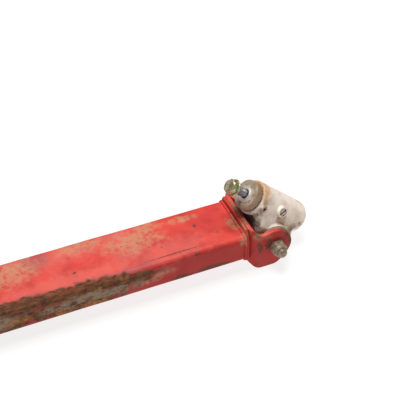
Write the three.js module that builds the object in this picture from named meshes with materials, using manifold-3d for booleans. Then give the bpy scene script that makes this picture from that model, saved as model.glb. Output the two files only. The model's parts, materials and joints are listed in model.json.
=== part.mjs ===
// Welded box-section spreader beam with a swivelling knuckle in a fork at each end.
// Millimetres. +X runs along the beam, +Z is up, and z = 0 is the surface it rests on.
import * as THREE from 'three';
import { mergeVertices } from 'three/addons/utils/BufferGeometryUtils.js';
import Module from 'manifold-3d';

const wasm = await Module();
wasm.setup();

// ---------- driving dimensions ----------
const gap = 0.3;                       // clearance between pieces that touch
const ease = 0.1;                      // a little more clearance, where one is needed
const beam = { length: 1100, width: 100, height: 50, wall: 4, corner: 8 };
const endPlate = { thick: 4, width: 106, top: 36, bottom: -30, cutWide: 9, cutTall: 18, footCut: 8 };
const weld = { leg: 5.5 };             // the tube is ground down by one gap where the weld lies
const fork = { thick: 7, width: 106, bend: 12, webTop: 36, foot: -48.5 };
const ear = { x: 48, z: -8.5, radius: 31, startAngle: 102, endAngle: -42 };
const dip = { x: 30, z: 19.5, webLand: 0.5, webPull: 5, webPullZ: 27, floorPull: 9, earPull: 5 };
const sole = { back: 27, front: 48, frontPull: 58, backPull: 20, slantX: 13, slantZ: -41, webZ: -30.5 };
const pivot = { x: 53, z: -9.5, tilt: 42 };
const clevis = {
  radius: 8, acrossFlats: 24, headTall: 10, hole: 8.5, washerRadius: 15, washerThick: 3,
  nutTall: 17, nutConeTall: 6, nutConeRadius: 10, studOut: 23.5, edge: 1.2,
};
const disc = { radius: 29.5, thick: 6.4 };
const hexChamfer = { tall: 1.8, face: 0.5, corner: 0.2 };
const lower = { radius: 29, halfLength: 38.7, edge: 2, bore: 12.3, bushLength: 24, bushInset: 0.4 };
const upper = {
  z: 37, radius: 28.5, front: -63.5, back: 53, edge: 1, endRound: 16, endStep: 1.2, bore: 18.8, boreEnd: 24,
};
const saddle = {                       // outlines seen across and along the swivel axis
  side: [
    [-29, -11], [-37, -6], [-45, 2.5], [-51, 14], [-54, 26], [-54, 33], [30, 33], [30, 12], [27, -10],
  ],
  end: [[-38, -12], [-38, 12], [-32, 24], [-26, 35], [26, 35], [32, 24], [38, 12], [38, -12]],
};
const spindleBushes = { frontTo: -36, rearFrom: 0, inset: 1 };
const collar = { radius: 24.5, front: -78, back: -65, edge: 2, ringRadius: 11, ringEdge: 1, ringTall: 1.2 };
const spindle = { radius: 15, end: 21, thread: 7.3, threadEnd: -36, grooveRadius: 12.6, grooveWide: 9 };
const swivel = {
  radius: 7, acrossFlats: 22, headTall: 8.8, standOff: 27, washerRadius: 14.5, washerThick: 3, tip: -38,
  edge: 1,
};
const keeper = {
  x: -16.5, angle: 19, boss: 9.5, bossTop: 33.5, radius: 6.4, edge: 0.8, point: 3.5, pointGap: 0.5,
  slotWide: 2.2, slotDeep: 2.6, slotAngle: -28,
};
const oiler = { x: -54, angle: 3, boss: 5.5, bossTop: 31.5, hole: 2.5, sides: 12 };
const bossRoot = 20;                   // where a boss starts, measured from the swivel axis
const through = 1;                     // how far a cut runs past the face it opens
const largeSides = 26;                 // sides of the larger round shapes
const smallSides = 20;                 // sides of the smaller round shapes
const arcSides = 5;                    // sides in each arc of an outline
const endSides = 6;                    // sides in the rounding of the upper barrel's end

const webBack = endPlate.thick + 2 * gap;
const webFront = webBack + fork.thick;
const earInside = fork.width / 2 - fork.thick;
const rad = THREE.MathUtils.degToRad;

// ---------- materials ----------
const finish = (colour, roughness, metalness) =>
  new THREE.MeshStandardMaterial({ color: colour, roughness, metalness });
const redPaint = finish(0xcf4a42, 0.55, 0.0);
const weldPaint = finish(0xb8443c, 0.6, 0.0);
const creamCasting = finish(0xe3d8c8, 0.6, 0.0);
const wornSteel = finish(0x8d8474, 0.5, 0.8);
const yellowZinc = finish(0xa59b6c, 0.4, 0.7);
const oliveSteel = finish(0xa8a183, 0.55, 0.5);
const bronze = finish(0xb08a4e, 0.4, 0.9);

// ---------- solids ----------
// A closed solid with its shared corners merged and its faces pointing out.
function solid(geometry) {
  const bare = geometry.clone();
  bare.deleteAttribute('normal');
  bare.deleteAttribute('uv');
  const merged = mergeVertices(bare, 1e-4);
  const corners = merged.index.array;
  const kept = [];
  for (let i = 0; i < corners.length; i += 3) {
    const [a, b, c] = corners.slice(i, i + 3);
    if (a !== b && b !== c && c !== a) kept.push(a, b, c);
  }
  const vertProperties = new Float32Array(merged.attributes.position.array);
  const build = (tri) => new wasm.Manifold(new wasm.Mesh({
    numProp: 3, vertProperties, triVerts: new Uint32Array(tri),
  }));
  const made = build(kept);
  return made.volume() > 0 ? made : build(kept.reverse());
}

function part(name, shape, material) {
  const out = shape.getMesh();
  const geometry = new THREE.BufferGeometry();
  geometry.setAttribute('position', new THREE.BufferAttribute(out.vertProperties, 3));
  geometry.setIndex(new THREE.BufferAttribute(out.triVerts, 1));
  geometry.computeVertexNormals();
  const mesh = new THREE.Mesh(geometry, material);
  mesh.name = name;
  return mesh;
}

// A turned shape about the X axis, from [along, radius] pairs.
function turned(pairs, sides = smallSides) {
  const points = pairs.map(([along, radius]) => new THREE.Vector2(radius, along));
  return solid(new THREE.LatheGeometry(points, sides).rotateZ(-Math.PI / 2));
}

function ring(from, to, inner, outer, sides = smallSides) {
  return turned([[from, inner], [from, outer], [to, outer], [to, inner], [from, inner]], sides);
}

function rod(from, to, radius, sides = smallSides) {
  return turned([[from, 0], [from, radius], [to, radius], [to, 0]], sides);
}

// Turns a shape made about X so that it runs along Y.
const alongY = (shape) => shape.rotate([0, 0, 90]);

// A straight extrusion of the given depth.
const flat = (depth) => ({ depth, bevelEnabled: false, curveSegments: arcSides });

// An outline in the plane of two axes, pushed out along the third.
function extruded(shape, settings, across, up) {
  const out = new THREE.Vector3().crossVectors(across, up);
  const turn = new THREE.Matrix4().makeBasis(across, up, out);
  return solid(new THREE.ExtrudeGeometry(shape, settings).applyMatrix4(turn));
}

const xAxis = new THREE.Vector3(1, 0, 0);
const yAxis = new THREE.Vector3(0, 1, 0);
const zAxis = new THREE.Vector3(0, 0, 1);

// A rounded rectangle centred on the origin.
function roundedRect(width, height, corner) {
  const w = width / 2;
  const h = height / 2;
  const outline = new THREE.Shape();
  outline.moveTo(w, corner - h);
  outline.absarc(w - corner, h - corner, corner, 0, Math.PI / 2);
  outline.absarc(corner - w, h - corner, corner, Math.PI / 2, Math.PI);
  outline.absarc(corner - w, corner - h, corner, Math.PI, 1.5 * Math.PI);
  outline.absarc(w - corner, corner - h, corner, 1.5 * Math.PI, 2 * Math.PI);
  return outline;
}

function hexagon(acrossFlats) {
  const radius = acrossFlats / Math.sqrt(3);
  const outline = new THREE.Shape();
  for (let side = 0; side < 6; side += 1) {
    const angle = rad(60 * side);
    const point = [radius * Math.cos(angle), radius * Math.sin(angle)];
    if (side === 0) outline.moveTo(...point);
    else outline.lineTo(...point);
  }
  return outline;
}

// A hexagonal prism along X, with the corners turned off at the end given by outerEnd.
function hexHead(innerEnd, outerEnd, acrossFlats) {
  const start = Math.min(innerEnd, outerEnd);
  const tall = Math.abs(outerEnd - innerEnd);
  const prism = extruded(hexagon(acrossFlats), flat(tall), yAxis, zAxis).translate([start, 0, 0]);
  const corner = acrossFlats / Math.sqrt(3) + hexChamfer.corner;
  const face = acrossFlats / 2 - hexChamfer.face;
  const slope = hexChamfer.tall * Math.sign(innerEnd - outerEnd);
  const blank = turned([
    [outerEnd, 0], [outerEnd, face], [outerEnd + slope, corner], [innerEnd, corner], [innerEnd, 0],
  ], largeSides);
  return prism.intersect(blank);
}

// ---------- the beam ----------
// A straight box bar with rounded corners along X, grown all round by the given amount.
function boxBar(from, to, grow) {
  const outline = roundedRect(beam.width + 2 * grow, beam.height + 2 * grow, beam.corner + grow);
  return extruded(outline, flat(to - from), yAxis, zAxis).translate([from, 0, 0]);
}

function beamTube() {
  const end = beam.length / 2;
  const body = end - weld.leg - gap;
  return boxBar(-body, body, 0)
    .add(boxBar(-end, end, -gap))
    .subtract(boxBar(-end - through, end + through, -beam.wall));
}

// ---------- one end, in a frame at the middle of the tube's end face ----------
function plateSolid() {
  const w = endPlate.width / 2;
  const outline = new THREE.Shape();
  outline.moveTo(-w + endPlate.footCut, endPlate.bottom);
  outline.lineTo(w - endPlate.footCut, endPlate.bottom);
  outline.lineTo(w, endPlate.bottom + endPlate.footCut);
  outline.lineTo(w, endPlate.top - endPlate.cutTall);
  outline.lineTo(w - endPlate.cutWide, endPlate.top);
  outline.lineTo(endPlate.cutWide - w, endPlate.top);
  outline.lineTo(-w, endPlate.top - endPlate.cutTall);
  outline.lineTo(-w, endPlate.bottom + endPlate.footCut);
  outline.closePath();
  return extruded(outline, flat(endPlate.thick), yAxis, zAxis).translate([gap, 0, 0]);
}

// The fillet weld round the tube, widest at the plate.
function weldSolid() {
  const { leg } = weld;
  const slope = {
    depth: leg, bevelThickness: leg, bevelSize: leg, bevelSegments: 1, curveSegments: arcSides,
  };
  const swell = extruded(roundedRect(beam.width, beam.height, beam.corner), slope, yAxis, zAxis);
  const pastEnd = boxBar(0, 3 * leg, 2 * leg);
  return swell.subtract(pastEnd).subtract(boxBar(-2 * leg, leg, ease));
}

// The plan of the bent plate: a web with an ear at each side.
function forkPlan() {
  const w = fork.width / 2;
  const reach = ear.x + ear.radius + through;
  const inside = fork.bend - fork.thick;
  const outline = new THREE.Shape();
  outline.moveTo(reach, -w);
  outline.lineTo(reach, -earInside);
  outline.absarc(webFront + inside, inside - earInside, inside, 1.5 * Math.PI, Math.PI, true);
  outline.absarc(webFront + inside, earInside - inside, inside, Math.PI, Math.PI / 2, true);
  outline.lineTo(reach, earInside);
  outline.lineTo(reach, w);
  outline.absarc(webBack + fork.bend, w - fork.bend, fork.bend, Math.PI / 2, Math.PI);
  outline.absarc(webBack + fork.bend, fork.bend - w, fork.bend, Math.PI, 1.5 * Math.PI);
  outline.closePath();
  return outline;
}

// The side view of the fork: high at the web, dipping behind a round ear, flat at the foot.
function earProfile() {
  const start = rad(ear.startAngle);
  const back = webBack - through;
  const outline = new THREE.Shape();
  outline.moveTo(back, fork.webTop);
  outline.lineTo(webFront + dip.webLand, fork.webTop);
  outline.bezierCurveTo(
    webFront + dip.webPull, dip.webPullZ, dip.x - dip.floorPull, dip.z, dip.x, dip.z,
  );
  outline.quadraticCurveTo(
    dip.x + dip.earPull, dip.z, ear.x + ear.radius * Math.cos(start), ear.z + ear.radius * Math.sin(start),
  );
  outline.absarc(ear.x, ear.z, ear.radius, start, rad(ear.endAngle), true);
  outline.quadraticCurveTo(sole.frontPull, fork.foot, sole.front, fork.foot);
  outline.lineTo(sole.back, fork.foot);
  outline.quadraticCurveTo(sole.backPull, fork.foot, sole.slantX, sole.slantZ);
  outline.lineTo(back, sole.webZ);
  outline.closePath();
  return outline;
}

function forkSolid() {
  const tall = fork.webTop - fork.foot;
  const bent = extruded(forkPlan(), flat(tall), xAxis, yAxis).translate([0, 0, fork.foot]);
  const side = extruded(earProfile(), flat(fork.width + 2 * through), xAxis, zAxis)
    .translate([0, fork.width / 2 + through, 0]);
  const hole = alongY(rod(-fork.width, fork.width, clevis.hole, largeSides))
    .translate([pivot.x, 0, pivot.z]);
  return bent.intersect(side).subtract(hole);
}

// Clevis pieces are made about the pivot axis, with the nut at the near side, -Y.
function clevisBolt() {
  const underHead = fork.width / 2 + clevis.washerThick + 2 * gap;
  const tip = -(fork.width / 2 + clevis.studOut);
  const shank = turned([
    [tip, 0], [tip, clevis.radius - clevis.edge], [tip + clevis.edge, clevis.radius],
    [underHead + through, clevis.radius], [underHead + through, 0],
  ], largeSides);
  const head = hexHead(underHead, underHead + clevis.headTall, clevis.acrossFlats);
  return alongY(shank.add(head));
}

function clevisNut() {
  const seat = -(fork.width / 2 + gap);
  const shoulder = seat - (clevis.nutTall - clevis.nutConeTall);
  const top = seat - clevis.nutTall;
  const coneStart = clevis.acrossFlats / 2 - hexChamfer.face;
  const body = hexHead(seat, shoulder, clevis.acrossFlats);
  const cone = turned([
    [shoulder + through, 0], [shoulder + through, coneStart], [top, clevis.nutConeRadius], [top, 0],
  ], largeSides);
  const bore = rod(top - through, seat + through, clevis.radius + gap, largeSides);
  return alongY(body.add(cone).subtract(bore));
}

function clevisWasher() {
  const face = fork.width / 2 + gap;
  return alongY(ring(face, face + clevis.washerThick, clevis.hole, clevis.washerRadius, largeSides));
}

// side = -1 is the near ear, +1 the far ear.
function thrustDisc(side) {
  const outer = earInside - gap;
  const shape = alongY(ring(outer - disc.thick, outer, clevis.hole, disc.radius, largeSides));
  return side < 0 ? shape.mirror([0, 1, 0]) : shape;
}

function pivotBush(side) {
  const outer = lower.halfLength - lower.bushInset;
  const bore = clevis.radius + gap + ease;
  const shape = alongY(ring(outer - lower.bushLength, outer, bore, lower.bore - gap));
  return side < 0 ? shape.mirror([0, 1, 0]) : shape;
}

// ---------- the knuckle, in a frame at the pivot with X along the swivel axis ----------
// A boss standing out of the upper barrel, square to its axis and raised from the near side.
function raised(shape, boss) {
  return shape.rotate([0, 0, -90]).rotate([-boss.angle, 0, 0]).translate([boss.x, 0, upper.z]);
}

function upperBarrel() {
  const round = upper.endRound;
  const outline = [
    [upper.front, 0], [upper.front, upper.radius - upper.edge], [upper.front + upper.edge, upper.radius],
  ];
  for (let step = 0; step <= endSides; step += 1) {
    const angle = (Math.PI / 2) * (step / endSides);
    outline.push([
      upper.back - round + round * Math.sin(angle),
      upper.radius - upper.endStep - round + round * Math.cos(angle),
    ]);
  }
  outline.push([upper.back, 0]);
  return turned(outline, largeSides).translate([0, 0, upper.z]);
}

// The neck that ties the two barrels together, wide at the pin and narrower above.
function saddleSolid() {
  const drawn = (points) => new THREE.Shape(points.map(([x, y]) => new THREE.Vector2(x, y)));
  const reach = lower.halfLength;
  const length = upper.back - upper.front;
  const across = extruded(drawn(saddle.side), flat(2 * reach), xAxis, zAxis).translate([0, reach, 0]);
  const along = extruded(drawn(saddle.end), flat(length), yAxis, zAxis).translate([upper.front, 0, 0]);
  return across.intersect(along);
}

// A round cut square to the upper barrel, in from the top of a boss.
function bossBore(boss, radius, sides) {
  return raised(rod(bossRoot / 2, boss.bossTop + through, radius, sides), boss);
}

function castingSolid() {
  const reach = lower.halfLength;
  const barrel = alongY(turned([
    [-reach, 0], [-reach, lower.radius - lower.edge], [lower.edge - reach, lower.radius],
    [reach - lower.edge, lower.radius], [reach, lower.radius - lower.edge], [reach, 0],
  ], largeSides));
  const keeperBoss = raised(rod(bossRoot, keeper.bossTop, keeper.boss), keeper);
  const oilerBoss = raised(rod(bossRoot, oiler.bossTop, oiler.boss), oiler);
  const body = barrel.add(upperBarrel()).add(saddleSolid()).add(keeperBoss).add(oilerBoss);
  const spindleBore = rod(upper.front - through, upper.boreEnd, upper.bore, largeSides);
  return body
    .subtract(spindleBore.translate([0, 0, upper.z]))
    .subtract(alongY(rod(-reach - through, reach + through, lower.bore, largeSides)))
    .subtract(bossBore(keeper, keeper.radius + gap, smallSides))
    .subtract(bossBore(oiler, oiler.hole, oiler.sides));
}

// Pieces on the swivel axis.
const onSwivel = (shape) => shape.translate([0, 0, upper.z]);

function spindleSolid() {
  const groove = spindle.grooveWide / 2;
  const ringTop = collar.front - collar.ringTall;
  return onSwivel(turned([
    [spindle.threadEnd, 0], [spindle.threadEnd, spindle.thread],
    [ringTop, spindle.thread], [ringTop, collar.ringRadius - collar.ringEdge],
    [collar.front, collar.ringRadius], [collar.front, collar.radius - collar.edge],
    [collar.front + collar.edge, collar.radius], [collar.back, collar.radius],
    [collar.back, spindle.radius], [keeper.x - groove, spindle.radius],
    [keeper.x - groove, spindle.grooveRadius], [keeper.x + groove, spindle.grooveRadius],
    [keeper.x + groove, spindle.radius], [spindle.end, spindle.radius], [spindle.end, 0],
  ], largeSides));
}

function spindleBush(from, to) {
  return onSwivel(ring(from, to, spindle.radius + gap, upper.bore - gap, largeSides));
}

function keeperScrew() {
  const top = keeper.bossTop;
  const tip = spindle.grooveRadius + keeper.pointGap;
  const shoulder = upper.bore - keeper.edge;
  const body = turned([
    [tip, 0], [tip, keeper.point], [shoulder, keeper.point], [shoulder, keeper.radius],
    [top - keeper.edge, keeper.radius], [top, keeper.radius - keeper.edge], [top, 0],
  ]);
  const blade = new THREE.BoxGeometry(2 * keeper.slotDeep, keeper.slotWide, 4 * keeper.radius);
  const slot = solid(blade).rotate([keeper.slotAngle, 0, 0]).translate([top, 0, 0]);
  return raised(body.subtract(slot), keeper);
}

function swivelWasher() {
  const near = collar.front - swivel.standOff;
  return onSwivel(ring(near - swivel.washerThick, near, swivel.radius + gap, swivel.washerRadius));
}

function swivelBolt() {
  const underHead = collar.front - swivel.standOff - swivel.washerThick - gap;
  const shank = turned([
    [underHead - through, 0], [underHead - through, swivel.radius],
    [swivel.tip - swivel.edge, swivel.radius], [swivel.tip, swivel.radius - swivel.edge], [swivel.tip, 0],
  ], largeSides);
  return onSwivel(shank.add(hexHead(underHead, underHead - swivel.headTall, swivel.acrossFlats)));
}

// ---------- assembly ----------
function knuckleGroup(side) {
  const { inset } = spindleBushes;
  const frontBush = [upper.front + inset, spindleBushes.frontTo];
  const rearBush = [spindleBushes.rearFrom, upper.boreEnd - inset];
  const knuckle = new THREE.Group();
  knuckle.rotation.y = rad(pivot.tilt);
  knuckle.add(
    part(`knuckle_casting_${side}`, castingSolid(), creamCasting),
    part(`pivot_bush_near_${side}`, pivotBush(-1), bronze),
    part(`pivot_bush_far_${side}`, pivotBush(1), bronze),
    part(`spindle_bush_front_${side}`, spindleBush(...frontBush), bronze),
    part(`spindle_bush_rear_${side}`, spindleBush(...rearBush), bronze),
    part(`keeper_screw_${side}`, keeperScrew(), oliveSteel),
    part(`swivel_spindle_${side}`, spindleSolid(), wornSteel),
    part(`swivel_washer_${side}`, swivelWasher(), yellowZinc),
    part(`swivel_bolt_${side}`, swivelBolt(), yellowZinc),
  );
  return knuckle;
}

function pivotGroup(side) {
  const group = new THREE.Group();
  group.position.set(pivot.x, 0, pivot.z);
  group.add(
    part(`clevis_bolt_${side}`, clevisBolt(), wornSteel),
    part(`clevis_nut_${side}`, clevisNut(), wornSteel),
    part(`clevis_washer_${side}`, clevisWasher(), wornSteel),
    part(`thrust_disc_near_${side}`, thrustDisc(-1), oliveSteel),
    part(`thrust_disc_far_${side}`, thrustDisc(1), oliveSteel),
    knuckleGroup(side),
  );
  return group;
}

function beamEnd(side) {
  const end = new THREE.Group();
  end.add(
    part(`end_plate_${side}`, plateSolid(), redPaint),
    part(`end_weld_${side}`, weldSolid(), weldPaint),
    part(`fork_${side}`, forkSolid(), redPaint),
    pivotGroup(side),
  );
  return end;
}

const group = new THREE.Group();
const level = new THREE.Group();
level.position.z = -fork.foot;
const right = beamEnd('right');
right.position.x = beam.length / 2;
const left = beamEnd('left');
left.position.x = -beam.length / 2;
left.rotation.z = Math.PI;
level.add(part('beam_tube', beamTube(), redPaint), right, left);
group.add(level);

export default group;
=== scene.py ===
import json
import math
import bmesh
import bpy
from mathutils import Matrix, Vector


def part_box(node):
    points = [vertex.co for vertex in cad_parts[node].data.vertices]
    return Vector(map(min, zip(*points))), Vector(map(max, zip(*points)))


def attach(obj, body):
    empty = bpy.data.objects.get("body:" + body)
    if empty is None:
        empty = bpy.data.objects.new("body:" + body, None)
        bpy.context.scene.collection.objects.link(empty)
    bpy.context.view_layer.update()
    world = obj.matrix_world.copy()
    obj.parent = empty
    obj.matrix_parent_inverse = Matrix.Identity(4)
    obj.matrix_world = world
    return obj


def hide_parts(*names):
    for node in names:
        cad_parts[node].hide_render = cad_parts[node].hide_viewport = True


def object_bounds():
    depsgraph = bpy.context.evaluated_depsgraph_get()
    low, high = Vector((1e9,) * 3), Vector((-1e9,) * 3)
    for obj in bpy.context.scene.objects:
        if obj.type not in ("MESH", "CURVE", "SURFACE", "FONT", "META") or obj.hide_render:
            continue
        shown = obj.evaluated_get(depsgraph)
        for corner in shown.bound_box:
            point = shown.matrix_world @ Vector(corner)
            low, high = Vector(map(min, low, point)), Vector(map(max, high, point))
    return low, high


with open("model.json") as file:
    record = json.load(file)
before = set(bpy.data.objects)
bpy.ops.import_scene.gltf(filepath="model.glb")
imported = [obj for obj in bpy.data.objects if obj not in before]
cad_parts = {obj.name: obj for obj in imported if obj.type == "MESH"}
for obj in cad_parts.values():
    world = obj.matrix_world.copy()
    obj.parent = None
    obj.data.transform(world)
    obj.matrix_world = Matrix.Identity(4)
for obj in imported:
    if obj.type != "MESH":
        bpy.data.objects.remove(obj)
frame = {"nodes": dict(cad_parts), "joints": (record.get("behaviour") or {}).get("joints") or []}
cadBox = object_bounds()
mm = 0.001
tiny = 1e-6
halfTurn = Matrix.Rotation(math.pi, 4, "Z")

# where the right end lies: the tube's end face, the clevis pin and the swivel axis
tubeLow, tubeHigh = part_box("beam_tube")
joints = {joint["name"]: joint for joint in frame["joints"]}
pinPlace = Vector(joints["knuckle_pivot_right"]["pos_m"])
swivelAxis = Vector(joints["swivel_spin_right"]["axis"])
tilt = math.atan2(-swivelAxis.z, swivelAxis.x)
swivelRise = (Vector(joints["swivel_spin_right"]["pos_m"]) - pinPlace).length
endPlace = Matrix.Translation((tubeHigh.x, 0, (tubeLow.z + tubeHigh.z) / 2))
pinAxisPlace = Matrix.Translation(pinPlace) @ Matrix.Rotation(math.pi / 2, 4, "Z")
knucklePlace = Matrix.Translation(pinPlace) @ Matrix.Rotation(tilt, 4, "Y")
swivelPlace = knucklePlace @ Matrix.Translation((0, 0, swivelRise))
print("frame loaded:", len(frame["nodes"]), "nodes")


# modelling helpers
def only(piece):
    if bpy.context.mode != "OBJECT":
        bpy.ops.object.mode_set(mode="OBJECT")
    bpy.ops.object.select_all(action="DESELECT")
    piece.select_set(True)
    bpy.context.view_layer.objects.active = piece


def edit(piece, kind="FACE"):
    only(piece)
    bpy.ops.object.mode_set(mode="EDIT")
    bpy.ops.mesh.select_mode(type=kind)
    bpy.ops.mesh.select_all(action="SELECT")


def leaveEdit():
    bpy.ops.object.mode_set(mode="OBJECT")


def begin(name):
    # a fresh primitive keeps its place in its mesh
    piece = bpy.context.object
    piece.name = piece.data.name = name
    bpy.ops.object.transform_apply(location=True, rotation=True, scale=True)
    return piece


def pickFaces(piece, rule):
    mesh = bmesh.from_edit_mesh(piece.data)
    for face in mesh.faces:
        face.select_set(bool(rule(face.calc_center_median(), face.normal)))
    mesh.select_flush_mode()
    bmesh.update_edit_mesh(piece.data)


def pickEdges(piece, rule):
    mesh = bmesh.from_edit_mesh(piece.data)
    for edge in mesh.edges:
        edge.select_set(False)
    for edge in mesh.edges:
        if rule(edge.verts[0].co, edge.verts[1].co):
            edge.select_set(True)
    bmesh.update_edit_mesh(piece.data)


def drawLine(name, points, loop=False):
    # a plane merged to one vertex, which is then extruded from point to point
    bpy.ops.object.select_all(action="DESELECT")
    bpy.ops.mesh.primitive_plane_add(size=mm)
    piece = begin(name)
    edit(piece, "VERT")
    bpy.ops.mesh.merge(type="CENTER")
    bpy.ops.transform.translate(value=points[0])
    ends = points[1:] + (points[:1] if loop else [])
    for start, end in zip(points, ends):
        step = {"value": Vector(end) - Vector(start)}
        bpy.ops.mesh.extrude_region_move(TRANSFORM_OT_translate=step)
    bpy.ops.mesh.select_all(action="SELECT")
    if loop:
        bpy.ops.mesh.remove_doubles(threshold=tiny)
        bpy.ops.mesh.edge_face_add()
    return piece


def faceOut(piece):
    edit(piece)
    bpy.ops.mesh.normals_make_consistent(inside=False)
    leaveEdit()


def slab(name, outline, depth):
    # an outline pushed out along depth
    piece = drawLine(name, outline, loop=True)
    bpy.ops.mesh.extrude_region_move(TRANSFORM_OT_translate={"value": depth})
    faceOut(piece)
    return piece


def turned(name, pairs, steps=64):
    # [along, radius] pairs in millimetres, spun about X
    piece = drawLine(name, [Vector((along, 0, radius)) * mm for along, radius in pairs])
    bpy.ops.mesh.spin(steps=steps, angle=2 * math.pi, center=(0, 0, 0), axis=(1, 0, 0))
    bpy.ops.mesh.select_all(action="SELECT")
    bpy.ops.mesh.remove_doubles(threshold=tiny)
    faceOut(piece)
    return piece


def bar(name, start, end, radius, steps=64):
    return turned(name, [[start, 0], [start, radius], [end, radius], [end, 0]], steps)


def applied(piece, kind, **settings):
    only(piece)
    modifier = piece.modifiers.new(kind.lower(), kind)
    for key, value in settings.items():
        setattr(modifier, key, value)
    bpy.ops.object.modifier_apply(modifier=modifier.name)
    return piece


def combine(piece, tool, operation):
    applied(piece, "BOOLEAN", object=tool, operation=operation, solver="EXACT")
    bpy.data.objects.remove(tool)
    return piece


def wornEdges(piece, width, segments=2, angle=35):
    return applied(piece, "BEVEL", width=width * mm, segments=segments, limit_method="ANGLE",
                   angle_limit=math.radians(angle), use_clamp_overlap=True)


def smooth(piece, angle=32):
    only(piece)
    bpy.ops.object.shade_smooth_by_angle(angle=math.radians(angle))


def rocked(piece, size, depth, seed):
    # shallow unevenness, as on hammered or cast metal
    texture = bpy.data.textures.new("uneven" + piece.name, "CLOUDS")
    texture.noise_scale = size * mm
    texture.noise_depth = 2
    piece.data.transform(Matrix.Translation((seed, 0, 0)))
    applied(piece, "DISPLACE", texture=texture, strength=depth * mm, mid_level=0.5,
            texture_coords="LOCAL")
    piece.data.transform(Matrix.Translation((-seed, 0, 0)))
    return piece


def arc(centre, radius, start, end, steps):
    # points on an arc in a plane, angles in degrees
    points = []
    for step in range(steps + 1):
        angle = math.radians(start + (end - start) * step / steps)
        points.append((centre[0] + radius * math.cos(angle), centre[1] + radius * math.sin(angle)))
    return points


def curve(points, steps):
    # a Bezier curve of any order, its first point left out
    line = []
    for step in range(1, steps + 1):
        t = step / steps
        hull = [Vector(point) for point in points]
        while len(hull) > 1:
            hull = [a.lerp(b, t) for a, b in zip(hull, hull[1:])]
        line.append(tuple(hull[0]))
    return line


def setDown(piece, place, node, body, material):
    # moves a piece into the right end and leaves a copy, with its own mesh, at the left end
    piece.data.transform(place)
    faceOut(piece)
    smooth(piece)
    only(piece)
    bpy.ops.object.duplicate(linked=False)
    other = bpy.context.object
    other.data.transform(halfTurn)
    base = piece.name
    for half, side in ((piece, "right"), (other, "left")):
        half.name = half.data.name = base + side.capitalize()
        half.data.materials.clear()
        half.data.materials.append(material)
        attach(half, body if body == "beam" else f"{body}_{side}")
        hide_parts(f"{node}_{side}")
    print("piece:", base)


# material helpers
def startMaterial(name):
    material = bpy.data.materials.new(name)
    material.use_nodes = True
    tree = material.node_tree
    tree.nodes.clear()
    shader = tree.nodes.new("ShaderNodeBsdfPrincipled")
    output = tree.nodes.new("ShaderNodeOutputMaterial")
    tree.links.new(shader.outputs["BSDF"], output.inputs["Surface"])
    return material, tree, shader


def node(tree, kind, inputs, **settings):
    made = tree.nodes.new("ShaderNode" + kind)
    for key, value in settings.items():
        setattr(made, key, value)
    for key, value in inputs.items():
        if isinstance(value, bpy.types.NodeSocket):
            tree.links.new(value, made.inputs[key])
        else:
            made.inputs[key].default_value = value
    return made


def place(tree):
    return node(tree, "TexCoord", {}).outputs["Object"]


def endwise(tree):
    # the left end read as the right one, half turned, so both ends wear alike
    parts = node(tree, "SeparateXYZ", {0: place(tree)})
    side = node(tree, "Math", {0: parts.outputs["X"]}, operation="SIGN").outputs[0]
    across = node(tree, "Math", {0: parts.outputs["Y"], 1: side}, operation="MULTIPLY").outputs[0]
    along = node(tree, "Math", {0: parts.outputs["X"]}, operation="ABSOLUTE").outputs[0]
    return node(tree, "CombineXYZ", {"X": along, "Y": across, "Z": parts.outputs["Z"]}).outputs[0]


def swivelwise(tree):
    # (along the swivel axis, distance from it)
    local = node(tree, "Mapping", {"Vector": endwise(tree), "Location": swivelPlace.translation,
                                   "Rotation": (0, tilt, 0)}, vector_type="TEXTURE").outputs[0]
    parts = node(tree, "SeparateXYZ", {0: local})
    flat = node(tree, "CombineXYZ", {"Y": parts.outputs["Y"], "Z": parts.outputs["Z"]}).outputs[0]
    return parts.outputs["X"], node(tree, "VectorMath", {0: flat}, operation="LENGTH").outputs["Value"]


def stretched(tree, vector, scale, shift=(0, 0, 0)):
    return node(tree, "Mapping", {"Vector": vector, "Scale": scale, "Location": shift}).outputs[0]


def grain(tree, vector, scale, detail=4.0, roughness=0.55):
    return node(tree, "TexNoise", {"Vector": vector, "Scale": scale, "Detail": detail,
                                   "Roughness": roughness}).outputs["Fac"]


def between(tree, value, low, high):
    # 0 below low, 1 above high, and the other way round when low is the greater
    return node(tree, "MapRange", {"Value": value, "From Min": low, "From Max": high},
                interpolation_type="SMOOTHSTEP").outputs["Result"]


def sums(tree, operation, first, second):
    return node(tree, "Math", {0: first, 1: second}, operation=operation).outputs[0]


def scaled(tree, value, factor):
    return sums(tree, "MULTIPLY", value, factor)


def most(tree, masks):
    result = masks[0]
    for mask in masks[1:]:
        result = sums(tree, "MAXIMUM", result, mask)
    return result


def colourMix(tree, mask, under, over):
    return node(tree, "Mix", {0: mask, 6: under, 7: over}, data_type="RGBA").outputs[2]


def valueMix(tree, mask, under, over):
    return node(tree, "Mix", {0: mask, 2: under, 3: over}, data_type="FLOAT").outputs[0]


def patch(tree, vector, spot, fray, soft=0.25):
    # a soft-edged spot: (centre, reach) in millimetres, its edge broken up by fray
    centre, reach = spot
    moved = node(tree, "VectorMath", {0: vector, 1: [c * mm for c in centre]},
                 operation="SUBTRACT").outputs[0]
    sized = node(tree, "VectorMath", {0: moved, 1: [r * mm for r in reach]},
                 operation="DIVIDE").outputs[0]
    far = node(tree, "VectorMath", {0: sized}, operation="LENGTH").outputs["Value"]
    return between(tree, sums(tree, "ADD", far, fray), 1.0 + soft, 1.0 - soft)


def frayed(tree, vector, scale, amount):
    # noise about nought, which makes the edge of a spot stray
    return scaled(tree, sums(tree, "SUBTRACT", grain(tree, vector, scale, 6.0, 0.65), 0.5), amount)


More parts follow.
